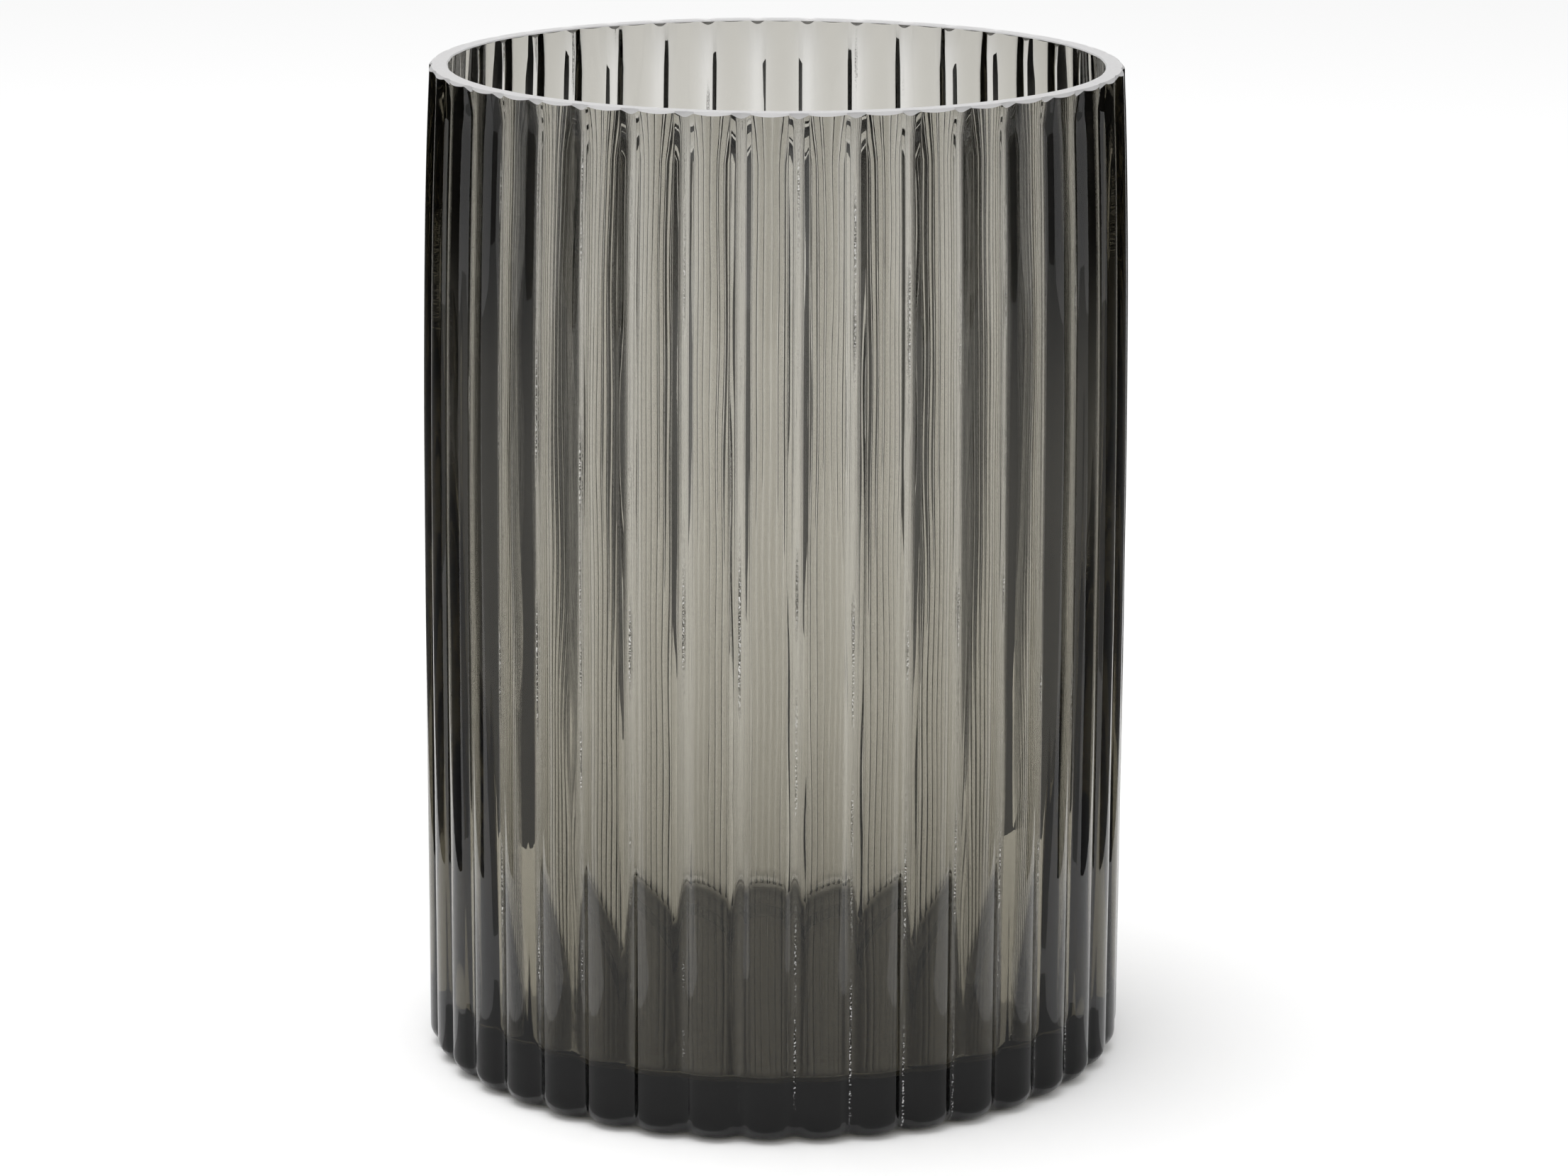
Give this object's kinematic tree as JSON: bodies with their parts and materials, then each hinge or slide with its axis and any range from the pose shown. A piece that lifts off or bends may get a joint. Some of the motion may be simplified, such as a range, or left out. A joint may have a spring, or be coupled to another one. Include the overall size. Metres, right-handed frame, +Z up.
{
  "type": "glass cylinder vase",
  "caption": "Tall straight-sided glass vase with vertical convex reeds outside, a plain bore, a flat cut rim and a thick heavy base.",
  "frame": {"origin": "centre of the underside, on the surface the vase stands on", "axes": "+Z up along the vase's axis; X and Y across it, with the crest of a reed on each"},
  "size_m": [0.14, 0.14, 0.198],
  "materials": {
    "smoke_glass": "clear smoke-grey pressed glass, glossy, with a matt cut rim"
  },
  "bodies": {
    "root": {"vase_body": "smoke_glass"}
  },
  "joints": []
}
